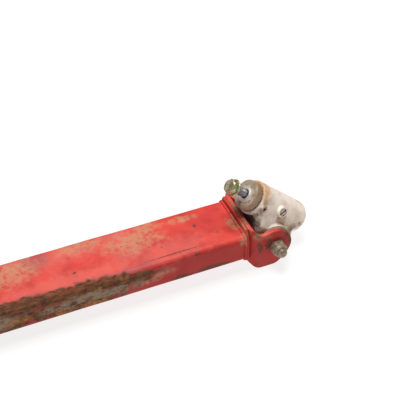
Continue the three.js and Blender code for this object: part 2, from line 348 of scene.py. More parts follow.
def edgeRub(tree, vector, width, low, high):
    # edges, where a rounded normal leaves the true one, broken up by noise
    rounded = node(tree, "Bevel", {"Radius": width * mm}, samples=4).outputs[0]
    flatNormal = node(tree, "NewGeometry", {}).outputs["Normal"]
    turn = node(tree, "VectorMath", {0: rounded, 1: flatNormal}, operation="DOT_PRODUCT").outputs["Value"]
    edge = sums(tree, "SUBTRACT", 1.0, turn)
    broken = scaled(tree, edge, grain(tree, vector, 160.0, 6.0, 0.7))
    return between(tree, broken, low, high)


def bumped(tree, shader, height, strength, distance):
    bump = node(tree, "Bump", {"Height": height, "Strength": strength, "Distance": distance * mm})
    tree.links.new(bump.outputs["Normal"], shader.inputs["Normal"])


def finish(tree, shader, colour, roughness, metallic=None):
    tree.links.new(colour, shader.inputs["Base Color"])
    tree.links.new(roughness, shader.inputs["Roughness"])
    if metallic is not None:
        tree.links.new(metallic, shader.inputs["Metallic"])


# paint and metal
paintTones = {
    # the third tone below is the painted shade of upright faces
    "red": (0.72, 0.062, 0.045, 1), "deepRed": (0.52, 0.035, 0.03, 1), "sideRed": (0.4, 0.016, 0.012, 1),
    "faded": (0.76, 0.16, 0.125, 1), "pink": (0.8, 0.22, 0.17, 1), "dust": (0.56, 0.27, 0.15, 1),
    "primer": (0.16, 0.055, 0.035, 1), "shadow": (0.22, 0.1, 0.12, 1), "olive": (0.2, 0.15, 0.08, 1),
    "rust": (0.07, 0.026, 0.014, 1), "rustLight": (0.24, 0.088, 0.036, 1), "orange": (0.5, 0.2, 0.035, 1),
    "bare": (0.32, 0.23, 0.16, 1),
}
# noise scales to the metre, and how far the edge of a spot strays
paintGrain = {"fine": 230.0, "coarse": 70.0, "fineStray": 3.2, "coarseStray": 2.4, "cloud": 22.0,
              "fade": 9.0, "speckle": 420.0, "skin": 340.0, "sheen": 60.0, "dust": 120.0, "pits": 130.0,
              "rust": 180.0, "orange": 190.0, "rubWidth": 2.0}
# noise scales along, across and up, for marks drawn out along the beam
paintStreaks = {"scratch": (14, 120, 120), "crust": (75, 170, 170), "bare": (80, 190, 190),
                "flake": (35, 120, 120)}
# what lies on the paint: kind of spot, stray of its edge, tone, strength, roughness, softness
paintLayers = (("faded", "coarse", "pink", 0.3, 0.5, 0.6), ("shadow", "coarse", "shadow", 0.35, 0.5, 0.3),
               ("dust", "coarse", "dust", 0.8, 0.85, 0.6), ("olive", "fine", "olive", 0.85, 0.85, 0.3),
               ("chip", "fine", "primer", 0.92, 0.8, 0.3))


def streaked(tree, vector, key, detail, roughness=0.55, shift=(0, 0, 0)):
    return grain(tree, stretched(tree, vector, paintStreaks[key], shift), 1.0, detail, roughness)


def cleanPaint(tree, raw):
    # clouded red, darker on upright faces as painted shade, with a fine pink speckle
    tone, size = paintTones, paintGrain
    cloud = between(tree, grain(tree, raw, size["cloud"], 5.0), 0.35, 0.7)
    colour = colourMix(tree, cloud, tone["red"], tone["deepRed"])
    fade = between(tree, grain(tree, raw, size["fade"], 7.0, 0.62), 0.5, 0.72)
    colour = colourMix(tree, scaled(tree, fade, 0.5), colour, tone["faded"])
    normal = node(tree, "NewGeometry", {}).outputs["Normal"]
    upward = node(tree, "SeparateXYZ", {0: normal}).outputs["Z"]
    # painted shade: upright faces are turned darker red
    paintedSideShade = scaled(tree, between(tree, upward, 0.75, 0.2), 0.75)
    colour = colourMix(tree, paintedSideShade, colour, tone["sideRed"])
    speckle = between(tree, grain(tree, raw, size["speckle"], 3.0, 0.7), 0.6, 0.75)
    return colourMix(tree, scaled(tree, speckle, 0.3), colour, tone["pink"])


def smallWear(tree, raw, colour):
    # scratches run along the beam, small chips lie anywhere and the edges are rubbed
    tone, size = paintTones, paintGrain
    scratch = between(tree, streaked(tree, raw, "scratch", 6.0, 0.65), 0.69, 0.76)
    colour = colourMix(tree, scaled(tree, scratch, 0.45), colour, tone["primer"])
    pits = between(tree, grain(tree, raw, size["pits"], 2.0, 0.4), 0.725, 0.755)
    rubbed = edgeRub(tree, raw, size["rubWidth"], 0.02, 0.09)
    worn = scaled(tree, most(tree, [pits, rubbed]), 0.85)
    blotch = between(tree, grain(tree, raw, size["rust"], 6.0, 0.7), 0.4, 0.62)
    rustTone = colourMix(tree, blotch, tone["rust"], tone["rustLight"])
    return colourMix(tree, worn, colour, rustTone), worn


def rustCrust(tree, raw, bareZone, orangeZone):
    # scaly brown rust with bare steel, flakes of old paint and orange bloom in it
    tone = paintTones
    scale = streaked(tree, raw, "crust", 8.0, 0.75)
    crust = colourMix(tree, between(tree, scale, 0.38, 0.62), tone["rust"], tone["rustLight"])
    steel = between(tree, streaked(tree, raw, "bare", 6.0, 0.8), 0.42, 0.56)
    crust = colourMix(tree, scaled(tree, bareZone, steel), crust, tone["bare"])
    flake = between(tree, streaked(tree, raw, "flake", 4.0, shift=(3, 1, 2)), 0.6, 0.66)
    crust = colourMix(tree, scaled(tree, flake, 0.55), crust, tone["deepRed"])
    bloom = between(tree, grain(tree, raw, paintGrain["orange"], 6.0, 0.7), 0.42, 0.6)
    bloom = scaled(tree, scaled(tree, bloom, orangeZone), 0.85)
    return colourMix(tree, bloom, crust, tone["orange"]), scale


def redPaint(name, spots):
    # spots: for each kind of wear, a list of (which vector, centre, reach) in millimetres
    material, tree, shader = startMaterial(name)
    tone, size = paintTones, paintGrain
    vectors = {"raw": place(tree), "ends": endwise(tree)}
    raw = vectors["raw"]
    stray = {"fine": frayed(tree, raw, size["fine"], size["fineStray"]),
             "coarse": frayed(tree, raw, size["coarse"], size["coarseStray"])}
    coarse = stray["coarse"]

    def zone(key, fray, soft):
        found = [patch(tree, vectors[where], (centre, reach), fray, soft)
                 for where, centre, reach in spots.get(key, [])]
        return most(tree, found) if found else None

    colour = cleanPaint(tree, raw)
    sheen = between(tree, grain(tree, raw, size["sheen"], 5.0), 0.0, 1.0)
    roughness = sums(tree, "ADD", scaled(tree, sheen, 0.25), 0.38)
    for key, fray, shade, strength, rough, soft in paintLayers:
        mask = zone(key, stray[fray], soft)
        if mask is None:
            continue
        if key == "dust":
            broken = between(tree, grain(tree, raw, size["dust"], 7.0, 0.7), 0.36, 0.56)
            mask = scaled(tree, mask, broken)
        mask = scaled(tree, mask, strength)
        colour = colourMix(tree, mask, colour, tone[shade])
        roughness = valueMix(tree, mask, roughness, rough)
    colour, worn = smallWear(tree, raw, colour)
    height = sums(tree, "SUBTRACT", grain(tree, raw, size["skin"], 5.0, 0.6), worn)
    rust = zone("rust", scaled(tree, coarse, 0.55), 0.16)
    if rust is not None:
        halo = scaled(tree, zone("rust", scaled(tree, coarse, 0.8), 0.5), 0.5)
        colour = colourMix(tree, halo, colour, tone["shadow"])
        crust, scale = rustCrust(tree, raw, zone("bare", coarse, 0.5), zone("orange", coarse, 0.5))
        colour = colourMix(tree, rust, colour, crust)
        roughness = valueMix(tree, rust, roughness, 0.85)
        height = valueMix(tree, rust, height, scaled(tree, scale, 4.0))
    finish(tree, shader, colour, roughness)
    shader.inputs["Specular IOR Level"].default_value = 0.25
    bumped(tree, shader, height, 0.5, 0.35)
    return material


castTones = {
    "cream": (0.95, 0.83, 0.72, 1), "grey": (0.68, 0.56, 0.45, 1), "blush": (0.86, 0.66, 0.56, 1),
    "tan": (0.6, 0.36, 0.19, 1), "orange": (0.66, 0.33, 0.12, 1), "brown": (0.24, 0.12, 0.055, 1),
    "dark": (0.06, 0.038, 0.026, 1), "dirt": (0.11, 0.07, 0.04, 1),
}
castGrain = {"fine": 320.0, "coarse": 120.0, "fineStray": 1.0, "coarseStray": 2.2, "cloud": 45.0,
             "blush": 25.0, "specks": 210.0, "sheen": 80.0, "skin": 260.0, "rubWidth": 1.6, "hollow": 9}


def castPaint(name):
    # cream paint over rough cast iron, stained by rust and grease, with painted shade in its hollows and in a
    # few spots
    material, tree, shader = startMaterial(name)
    tone, size = castTones, castGrain
    raw, ends = place(tree), endwise(tree)
    fine = frayed(tree, raw, size["fine"], size["fineStray"])
    coarse = frayed(tree, raw, size["coarse"], size["coarseStray"])
    cloud = between(tree, grain(tree, raw, size["cloud"], 6.0, 0.65), 0.42, 0.72)
    colour = colourMix(tree, cloud, tone["cream"], tone["grey"])
    blush = between(tree, grain(tree, raw, size["blush"], 5.0), 0.5, 0.7)
    colour = colourMix(tree, scaled(tree, blush, 0.5), colour, tone["blush"])
    # stains, and the painted shade among them
    for centre, reach, shade, strength in castStainsAndShade:
        mask = scaled(tree, patch(tree, ends, (centre, reach), coarse, 0.5), strength)
        colour = colourMix(tree, mask, colour, tone[shade])
    specks = between(tree, grain(tree, raw, size["specks"], 3.0, 0.6), 0.68, 0.74)
    colour = colourMix(tree, scaled(tree, specks, 0.8), colour, tone["brown"])
    rubbed = edgeRub(tree, raw, size["rubWidth"], 0.03, 0.12)
    colour = colourMix(tree, scaled(tree, rubbed, 0.7), colour, tone["brown"])
    # painted shade: darker in hollows, from ambient occlusion
    hollow = node(tree, "AmbientOcclusion", {"Distance": size["hollow"] * mm}, samples=4).outputs["AO"]
    dirt = scaled(tree, between(tree, sums(tree, "ADD", hollow, fine), 0.8, 0.25), 0.8)
    colour = colourMix(tree, dirt, colour, tone["dirt"])
    rough = sums(tree, "ADD", scaled(tree, grain(tree, raw, size["sheen"]), 0.3), 0.35)
    finish(tree, shader, colour, rough)
    height = sums(tree, "SUBTRACT", grain(tree, raw, size["skin"], 6.0, 0.65), specks)
    bumped(tree, shader, height, 0.55, 0.4)
    return material


# noise scales to the metre on metal, the stray of a spot's edge and the reach of grime, in millimetres
metalGrain = {"coarse": 150.0, "stray": 1.2, "cloud": 90.0, "specks": 240.0, "sheen": 130.0, "skin": 420.0,
              "hollow": 4, "bandEdge": 1, "bandStray": 0.0015}


def bandMask(tree, axis, along, out, stray):
    # a stretch of the swivel axis, between two distances from it
    edge = metalGrain["bandEdge"]
    masks = []
    for value, (low, high) in zip(axis, (along, out)):
        strayed = sums(tree, "ADD", value, stray)
        masks.append(scaled(tree, between(tree, strayed, (low - edge) * mm, low * mm),
                            between(tree, strayed, (high + edge) * mm, high * mm)))
    return scaled(tree, masks[0], masks[1])


def wornMetal(name, clean, dull, crust, metal, scale=1.0, spots=(), rough=(0.3, 0.6), crusted=(0.55, 0.68),
              bands=()):
    # bare or plated steel with grime in its hollows and rust specks
    material, tree, shader = startMaterial(name)
    size = metalGrain
    raw, ends = place(tree), endwise(tree)
    coarse = frayed(tree, raw, size["coarse"], size["stray"])
    cloud = between(tree, grain(tree, raw, size["cloud"] * scale, 6.0, 0.7), 0.36, 0.64)
    colour = colourMix(tree, cloud, clean, dull)
    specks = between(tree, grain(tree, raw, size["specks"] * scale, 5.0, 0.7), *crusted)
    hollow = node(tree, "AmbientOcclusion", {"Distance": size["hollow"] * mm}, samples=4).outputs["AO"]
    grime = between(tree, sums(tree, "ADD", hollow, coarse), 0.75, 0.2)
    worn = most(tree, [specks, scaled(tree, grime, 0.85)])
    colour = colourMix(tree, worn, colour, crust)
    metallic = valueMix(tree, worn, metal, 0.0)
    roughness = valueMix(tree, grain(tree, raw, size["sheen"] * scale, 4.0), *rough)
    roughness = valueMix(tree, worn, roughness, 0.85)
    for along, out, shade, strength, shine in bands:
        mask = bandMask(tree, swivelwise(tree), along, out, scaled(tree, coarse, size["bandStray"]))
        mask = scaled(tree, mask, strength)
        colour = colourMix(tree, mask, colour, shade)
        roughness = valueMix(tree, mask, roughness, 0.6 - 0.4 * shine)
        metallic = valueMix(tree, mask, metallic, shine)
    for centre, reach, shade, shine in spots:
        mask = patch(tree, ends, (centre, reach), scaled(tree, coarse, 0.4), 0.2)
        colour = colourMix(tree, mask, colour, shade)
        roughness = valueMix(tree, mask, roughness, 0.5 - 0.3 * shine)
        metallic = valueMix(tree, mask, metallic, shine)
    finish(tree, shader, colour, roughness, metallic)
    height = sums(tree, "ADD", grain(tree, raw, size["skin"] * scale, 5.0, 0.65), worn)
    bumped(tree, shader, height, 0.45, 0.25)
    return material


# rust, dust and chips on the beam: "raw" spots lie at one place, "ends" spots at both ends
tubeSpots = {
    "dust": [("raw", (385, 14, 73), (42, 22, 16)), ("raw", (412, 36, 73), (22, 12, 12)),
             ("raw", (302, 34, 73), (30, 11, 12)), ("raw", (180, 22, 73), (48, 24, 14)),
             ("raw", (472, 30, 73), (20, 7, 10)), ("raw", (398, -50, 51), (26, 8, 7)),
             ("raw", (375, -50, 43), (22, 8, 5)), ("ends", (545, -12, 73), (10, 12, 8)),
             ("ends", (546, -47, 68), (6, 9, 8)), ("raw", (-120, -10, 73), (60, 26, 14)),
             ("raw", (-330, 25, 73), (44, 20, 14)), ("raw", (-250, 50, 55), (50, 10, 12)),
             ("raw", (60, 50, 50), (70, 10, 12)), ("raw", (-420, -30, 73), (30, 12, 10))],
    "faded": [("raw", (430, -25, 73), (60, 22, 12)), ("raw", (260, -30, 74), (120, 16, 12)),
              ("raw", (330, 30, 73), (70, 22, 12)), ("raw", (0, 10, 73), (120, 30, 12))],
    "shadow": [("raw", (230, 32, 73), (20, 16, 10)), ("raw", (320, -46, 72), (80, 8, 6)),
               ("raw", (-60, 20, 73), (40, 16, 10))],
    "chip": [("raw", (485, 8, 73), (3, 4, 3)), ("raw", (277, -17, 73), (3, 2, 2)),
             ("raw", (466, -50, 69), (5, 4, 3)), ("raw", (440, -50, 31), (16, 6, 5)),
             ("raw", (493, -50, 31), (28, 6, 6)), ("raw", (432, -37.5, 74), (38, 1.3, 4)),
             ("raw", (-380, -49, 60), (14, 5, 4))],
    "rust": [("raw", (255, -52, 56), (118, 16, 30)), ("raw", (170, -48, 62), (120, 14, 32)),
             ("raw", (60, -52, 55), (120, 14, 32)), ("raw", (360, -52, 58), (42, 12, 12)),
             ("raw", (-330, 52, 48), (110, 12, 26)), ("raw", (-240, -52, 30), (90, 12, 12)),
             ("raw", (150, -30, 22), (160, 24, 8)), ("raw", (-300, 20, 22), (120, 30, 8))],
    "bare": [("raw", (275, -50, 47), (60, 20, 11)), ("raw", (330, -50, 46), (34, 20, 9)),
             ("raw", (120, -50, 50), (60, 20, 14))],
    "orange": [("raw", (291, -50, 31), (22, 20, 6)), ("raw", (304, -50, 58), (8, 20, 4)),
               ("raw", (245, -50, 29), (30, 20, 6)), ("raw", (180, -50, 44), (20, 20, 6)),
               ("raw", (345, -50, 66), (8, 20, 4)), ("raw", (-330, 50, 40), (30, 20, 7))],
}
forkSpots = {
    "dust": [("ends", (553, -10, 84), (6, 44, 4)), ("ends", (566, -50, 70), (5, 6, 5))],
    "faded": [("ends", (580, -50, 66), (14, 8, 5))],
    "chip": [("ends", (574, -53, 42), (5, 4, 8)), ("ends", (571, -53, 52), (4, 4, 4)),
             ("ends", (562, -53, 42), (2, 3, 2)), ("ends", (588, -53, 45), (5, 4, 10)),
             ("ends", (622, -50, 60), (6, 12, 8)), ("ends", (629, -50, 45), (5, 12, 10)),
             ("ends", (613, -50, 69), (7, 3, 4)), ("ends", (566, -46, 10), (7, 8, 4)),
             ("ends", (590, -53, 54), (6, 3, 4))],
    "olive": [("ends", (557, 10, 85), (3, 20, 2)), ("ends", (592, -49, 60), (30, 3.5, 4.5)),
              ("ends", (570, -46, 70), (8, 8, 9)), ("ends", (560, -43, 76), (5, 6, 6)),
              ("ends", (556, -25, 84.5), (2, 12, 1.5)), ("ends", (633, -49, 44), (8, 9, 22)),
              ("ends", (620, -48, 65), (7, 5, 6))],
}
plateSpots = {
    "dust": [("ends", (551, -36, 80), (3, 10, 6))],
    "chip": [("ends", (553, 40, 80), (3, 4, 3)), ("ends", (554, -48, 66), (2, 5, 4))],
    "olive": [("ends", (554.5, 0, 84.5), (0.9, 46, 2)), ("ends", (554.5, -48, 74), (1.2, 5, 9))],
}
# stains on the casting, some of them painted shade, as marked below
castStainsAndShade = [
    ((599, 0, 125), (13, 22, 14), "orange", 0.8), ((593, -20, 118), (11, 12, 13), "tan", 0.8),
    ((593, -27, 110), (6, 5, 7), "brown", 0.45), ((588, -31, 101), (8, 8, 9), "brown", 0.8),
    ((611, 10, 120), (10, 7, 6), "orange", 0.6), ((623, 9, 110), (12, 6, 6), "orange", 0.5),
    ((640, 9, 94), (14, 5, 8), "tan", 0.6), ((656, 9, 78), (12, 5, 8), "tan", 0.6),
    ((670, 2, 64), (7, 8, 9), "orange", 0.65), ((638, -26, 42), (15, 8, 8), "brown", 0.95),
    ((631, -27, 49), (6, 5, 6), "orange", 0.75), ((621, -29, 62), (12, 8, 12), "tan", 0.75),
    # the two brown spots on the next line are a painted shadow under the keeper screw
    ((618, -30, 74), (5, 4, 5), "brown", 0.55), ((628, -30, 70), (4, 4, 4), "brown", 0.5),
    ((656.5, -28, 46.5), (2.6, 3, 2.6), "dark", 0.8), ((666.8, -27, 44.5), (2, 3, 2.4), "dark", 0.8),
    ((660, -28, 41), (5, 3, 1.6), "dark", 0.75), ((650, -26, 52), (10, 6, 8), "tan", 0.4),
    # the two dark spots on the next line and the first on the one after are painted shade on the neck's
    # front, below the collar
    ((574, -4, 74), (8, 36, 20), "dark", 0.9), ((575, -8, 56), (8, 36, 14), "dark", 0.8),
    ((576, -38, 90), (8, 10, 12), "dark", 0.7), ((583, -38, 92), (7, 6, 7), "tan", 0.7),
    ((580, -38, 62), (9, 4, 9), "tan", 0.5), ((610, 30, 60), (24, 12, 24), "tan", 0.4),
]
tubePaint = redPaint("wornRedTubePaint", tubeSpots)
forkPaint = redPaint("wornRedForkPaint", forkSpots)
platePaint = redPaint("wornRedPlatePaint", plateSpots)
weldPaint = redPaint("paintedWeldBead", {"dust": [("ends", (547, -10, 74), (5, 22, 8)),
                                                  ("ends", (547, -46, 66), (6, 12, 12))]})
creamPaint = castPaint("stainedAndShadedCreamPaint")
boltSteel = wornMetal("greyBoltSteel", (0.4, 0.32, 0.22, 1), (0.22, 0.17, 0.11, 1),
                      (0.07, 0.045, 0.025, 1), 0.35)
discPlate = wornMetal("olivePlatedSteel", (0.42, 0.33, 0.2, 1), (0.27, 0.21, 0.12, 1),
                      (0.08, 0.05, 0.025, 1), 0.3)
screwPlate = wornMetal("oilyScrewSteel", (0.6, 0.5, 0.38, 1), (0.3, 0.23, 0.16, 1),
                       (0.07, 0.045, 0.03, 1), 0.3)
bushBronze = wornMetal("oiledBronze", (0.62, 0.38, 0.15, 1), (0.4, 0.23, 0.09, 1),
                       (0.06, 0.04, 0.02, 1), 0.9)
spindleSteel = wornMetal(
    "rustedSpindleSteel", (0.66, 0.58, 0.48, 1), (0.34, 0.24, 0.16, 1), (0.09, 0.05, 0.025, 1), 0.4,
    crusted=(0.52, 0.66), bands=[((-77, -60), (22, 40), (0.3, 0.17, 0.08, 1), 0.7, 0.1),
                                 ((-82, -77), (19, 40), (0.4, 0.26, 0.15, 1), 0.5, 0.2),
                                 ((-82, -77), (9, 14), (0.75, 0.7, 0.62, 1), 0.7, 0.5)])
boltZinc = wornMetal(
    "yellowZincSteel", (0.78, 0.68, 0.46, 1), (0.3, 0.24, 0.13, 1), (0.05, 0.04, 0.025, 1), 0.6, 1.3,
    spots=[((550.5, -6, 144), (4.5, 4.5, 4.5), (0.16, 0.36, 0.08, 1), 0.0)], rough=(0.22, 0.5),
    bands=[((-103, -76), (0, 9), (0.3, 0.33, 0.4, 1), 1.0, 1.0)])
print("materials made")

# beam tube
tube = {"wall": 4, "corner": 8, "cutEvery": 9, "dentSize": 70, "dent": 0.9}


def makeTube():
    size = tubeHigh - tubeLow
    bpy.ops.object.select_all(action="DESELECT")
    bpy.ops.mesh.primitive_cube_add(size=1, location=(tubeLow + tubeHigh) / 2, scale=size)
    piece = begin("beamTube")
    edit(piece, "EDGE")
    pickEdges(piece, lambda a, b: abs(a.x - b.x) > size.x / 2)
    bpy.ops.mesh.bevel(offset=tube["corner"] * mm, segments=7, profile=0.5, affect="EDGES")
    pickEdges(piece, lambda a, b: abs(a.x - b.x) > size.x / 2)
    bpy.ops.mesh.subdivide(number_cuts=int(size.x / mm / tube["cutEvery"]))
    flatY, flatZ = 2 * tube["corner"] * mm, size.z / 4
    edge = 0.02 * mm
    pickEdges(piece, lambda a, b: abs(a.y - b.y) > flatY and abs(a.z - b.z) < edge)
    bpy.ops.mesh.subdivide(number_cuts=9)
    pickEdges(piece, lambda a, b: abs(a.z - b.z) > flatZ and abs(a.y - b.y) < edge)
    bpy.ops.mesh.subdivide(number_cuts=4)
    bpy.ops.mesh.select_mode(type="FACE")
    pickFaces(piece, lambda centre, normal: abs(normal.x) > 0.9)
    bpy.ops.mesh.delete(type="FACE")
    faceOut(piece)
    rocked(piece, tube["dentSize"], tube["dent"], 0.2)
    applied(piece, "SOLIDIFY", thickness=tube["wall"] * mm, offset=-1.0, use_even_offset=True)
    smooth(piece, 40)
    piece.data.materials.append(tubePaint)
    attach(piece, "beam")
    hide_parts("beam_tube")
    print("piece: beamTube")


makeTube()

# end plates and weld beads
endPlate = {"back": 0.3, "thick": 4, "half": 53, "top": 36, "bottom": -30, "cutWide": 9,
            "cutTall": 18, "footCut": 8, "edge": 0.9}
weld = {"step": 2.2, "bead": 2.4, "proud": 0.5, "grain": 0.7, "sink": 1.0, "sway": 0.25,
        "swayTurn": 2.4}


def makePlate():
    p = endPlate
    corners = [(-p["half"] + p["footCut"], p["bottom"]), (p["half"] - p["footCut"], p["bottom"]),
               (p["half"], p["bottom"] + p["footCut"]), (p["half"], p["top"] - p["cutTall"]),
               (p["half"] - p["cutWide"], p["top"]), (-p["half"] + p["cutWide"], p["top"]),
               (-p["half"], p["top"] - p["cutTall"]), (-p["half"], p["bottom"] + p["footCut"])]
    outline = [Vector((p["back"], y, z)) * mm for y, z in corners]
    piece = slab("endPlate", outline, Vector((p["thick"], 0, 0)) * mm)
    wornEdges(piece, p["edge"], 3)
    setDown(piece, endPlace, "end_plate", "beam", platePaint)


def roundTheTube(radius, spacing):
    # points round the tube's outline, with their distance apart near spacing
    half = (tubeHigh - tubeLow) / 2 / mm
    corner = tube["corner"]
    path = []
    quarters = ((1, 1, 0), (-1, 1, 90), (-1, -1, 180), (1, -1, 270))
    for sideY, sideZ, start in quarters:
        centre = (sideY * (half.y - corner), sideZ * (half.z - corner))
        path += arc(centre, corner + radius, start, start + 90, 6)
    path.append(path[0])
    points = []
    carried = 0.0
    for a, b in zip(path, path[1:]):
        a, b = Vector(a), Vector(b)
        length = (b - a).length
        while carried < length:
            points.append(a.lerp(b, carried / length))
            carried += spacing
        carried -= length
    return points


def makeWeld():
    # overlapping half-round scales, laid round the tube and melted together
    piece = None
    for index, point in enumerate(roundTheTube(weld["proud"], weld["step"])):
        bpy.ops.object.select_all(action="DESELECT")
        lean = weld["sway"] * math.sin(index * weld["swayTurn"])
        bpy.ops.mesh.primitive_uv_sphere_add(
            segments=12, ring_count=8, radius=weld["bead"] * mm,
            location=Vector((lean - weld["sink"], point.x, point.y)) * mm)
        bead = begin("bead")
        if piece is None:
            piece = bead
            piece.name = piece.data.name = "endWeld"
        else:
            piece.select_set(True)
            bpy.context.view_layer.objects.active = piece
            bpy.ops.object.join()
    applied(piece, "REMESH", mode="VOXEL", voxel_size=weld["grain"] * mm)
    applied(piece, "SMOOTH", factor=0.6, iterations=3)
    setDown(piece, endPlace, "end_weld", "beam", weldPaint)


makePlate()
makeWeld()

# fork
fork = {"back": 4.6, "thick": 7, "half": 53, "bend": 12, "top": 36, "foot": -48.5, "reach": 80,
        "earX": 48, "earZ": -8.5, "earRadius": 31, "earFrom": 102, "earTo": -42, "hole": 8.5, "pinX": 53,
        "pinZ": -9.5, "dipX": 30, "dipZ": 19.5, "footFront": 48, "footBack": 27, "heel": (13, -41),
        "webFoot": -30.5, "edge": 1.3}


def forkPlan():
    f = fork
    front = f["back"] + f["thick"]
    inside = f["bend"] - f["thick"]
    inner, outer = f["half"] - f["thick"], f["half"]
    plan = [(f["reach"], -outer), (f["reach"], -inner)]
    plan += arc((front + inside, inside - inner), inside, 270, 180, 10)
    plan += arc((front + inside, inner - inside), inside, 180, 90, 10)
    plan += [(f["reach"], inner), (f["reach"], outer)]
    plan += arc((f["back"] + f["bend"], outer - f["bend"]), f["bend"], 90, 180, 14)
    plan += arc((f["back"] + f["bend"], f["bend"] - outer), f["bend"], 180, 270, 14)
    return [Vector((x, y, f["foot"])) * mm for x, y in plan]


def earOutline():
    # web, dip, round ear and foot, as (along, up)
    f = fork
    web = f["back"] + f["thick"]
    behind, foot, dip = f["back"] - 1, f["foot"], f["dipZ"]
    ear = arc((f["earX"], f["earZ"]), f["earRadius"], f["earFrom"], f["earTo"], 40)
    line = [(behind, f["top"]), (web + 0.5, f["top"])]
    line += curve([line[-1], (web + 5, 27), (f["dipX"] - 9, dip), (f["dipX"], dip)], 12)
    line += curve([line[-1], (f["dipX"] + 5, dip), ear[0]], 5)
    line += ear[1:]
    line += curve([line[-1], (f["footFront"] + 10, foot), (f["footFront"], foot)], 6)
    line += [(f["footBack"], foot)]
    line += curve([line[-1], (f["footBack"] - 7, foot), f["heel"]], 5)
    line += [(behind, f["webFoot"])]
    return [Vector((x, -f["half"] - 1, z)) * mm for x, z in line]


def makeFork():
    f = fork
    piece = slab("fork", forkPlan(), Vector((0, 0, f["top"] - f["foot"])) * mm)
    side = slab("earSide", earOutline(), Vector((0, 2 * f["half"] + 2, 0)) * mm)
    combine(piece, side, "INTERSECT")
    past = f["half"] + f["thick"]
    hole = bar("pinHole", -past, past, f["hole"])
    hole.data.transform(Matrix.Translation(Vector((f["pinX"], 0, f["pinZ"])) * mm)
                        @ Matrix.Rotation(math.pi / 2, 4, "Z"))
    combine(piece, hole, "DIFFERENCE")
    wornEdges(piece, f["edge"], 3, 40)
    setDown(piece, endPlace, "fork", "beam", forkPaint)


makeFork()

# clevis bolt, nut and washer, about the pin axis with the nut at -Y
clevis = {"radius": 8, "acrossFlats": 24, "headTall": 10, "nutTall": 17, "coneTall": 6, "coneRadius": 10,
          "coneFoot": 11.3, "studOut": 23.45, "washer": 15, "washerThick": 3, "pitch": 2, "thread": 0.55,
          "threadTo": -44, "face": 53, "gap": 0.3}


def threaded(start, end, radius, pitch, depth):
    # the ridges of a thread as a profile
    line = []
    along = start
    while along + pitch <= end:
        line += [[along, radius - depth], [along + 0.4 * pitch, radius], [along + 0.6 * pitch, radius]]
        along += pitch
    return line + [[along, radius - depth]]


def hexBlock(name, inner, outer, acrossFlats, chamfer=1.8):
    # a hexagon prism along X whose corners are turned off at the outer end
    start, end = min(inner, outer), max(inner, outer)
    reach = acrossFlats / math.sqrt(3)
    bpy.ops.object.select_all(action="DESELECT")
    bpy.ops.mesh.primitive_cylinder_add(
        vertices=6, radius=reach * mm, depth=(end - start) * mm,
        location=((start + end) / 2 * mm, 0, 0), rotation=(0, math.pi / 2, 0))
    piece = begin(name)
    slope = chamfer if inner > outer else -chamfer
    face = acrossFlats / 2 - 0.5
    away = -1 if inner > outer else 1
    blank = turned("blank", [[outer, 0], [outer, face], [outer + slope, reach + 0.2],
                             [inner - away, reach + 0.2], [inner - away, 0]])
    return combine(piece, blank, "INTERSECT")


def makeClevis():
    c = clevis
    under = c["face"] + c["washerThick"] + 2 * c["gap"]
    tip = -(c["face"] + c["studOut"])
    radius, edge = c["radius"], 1.2
    shank = [[tip, 0], [tip, radius - edge - 0.2], [tip + 0.4, radius - edge]]
    shank += threaded(tip + edge, c["threadTo"], radius, c["pitch"], c["thread"])
    shank += [[c["threadTo"] + 1, radius], [under + 1, radius], [under + 1, 0]]
    bolt = turned("clevisBolt", shank, 48)
    head = hexBlock("head", under, under + c["headTall"], c["acrossFlats"])
    combine(bolt, head, "UNION")
    wornEdges(bolt, 0.35, 2, 50)
    setDown(bolt, pinAxisPlace, "clevis_bolt", "beam", boltSteel)

    seat = -(c["face"] + c["gap"])
    shoulder = seat - (c["nutTall"] - c["coneTall"])
    top = seat - c["nutTall"]
    nut = hexBlock("clevisNut", seat, shoulder, c["acrossFlats"], 1.2)
    cone = turned("cone", [
        [shoulder + 1, 0], [shoulder + 1, c["acrossFlats"] / 2 - 0.5], [shoulder, c["coneFoot"]],
        [top + 0.8, c["coneRadius"] + 0.4], [top, c["coneRadius"] - 0.6], [top, 0]])
    combine(nut, cone, "UNION")
    combine(nut, bar("nutBore", top - 1, seat + 1, c["radius"] + 0.25), "DIFFERENCE")
    wornEdges(nut, 0.45, 2, 30)
    setDown(nut, pinAxisPlace, "clevis_nut", "beam", boltSteel)

    start, end, edge = c["face"] + c["gap"], c["face"] + c["gap"] + c["washerThick"], 0.6
    outer, bore = c["washer"], c["radius"] + 0.5
    washer = turned("clevisWasher", [
        [start, bore], [start, outer - edge], [start + edge, outer], [end - edge, outer],
        [end, outer - edge], [end, bore + 0.3], [end - 0.3, bore], [start, bore]])
    setDown(washer, pinAxisPlace, "clevis_washer", "beam", boltSteel)


makeClevis()

# thrust discs
disc = {"inner": 39.3, "thick": 6.4, "radius": 29.5, "bore": 8.5, "edge": 1.1}


def makeDiscs():
    d = disc
    start, end = d["inner"], d["inner"] + d["thick"]
    groove = (start + end) / 2
    profile = [[start, d["bore"]], [start, d["radius"] - d["edge"]], [start + 0.4, d["radius"] - 0.3],
               [start + d["edge"], d["radius"]], [groove - 0.7, d["radius"]], [groove, d["radius"] - 0.5],
               [groove + 0.7, d["radius"]], [end - d["edge"], d["radius"]], [end - 0.4, d["radius"] - 0.3],
               [end, d["radius"] - d["edge"]], [end, d["bore"]], [start, d["bore"]]]
    for side, mirrored in (("Far", 1), ("Near", -1)):
        piece = turned("thrustDisc" + side, [[along * mirrored, radius] for along, radius in profile], 96)
        setDown(piece, pinAxisPlace, "thrust_disc_" + side.lower(), "beam", discPlate)


makeDiscs()

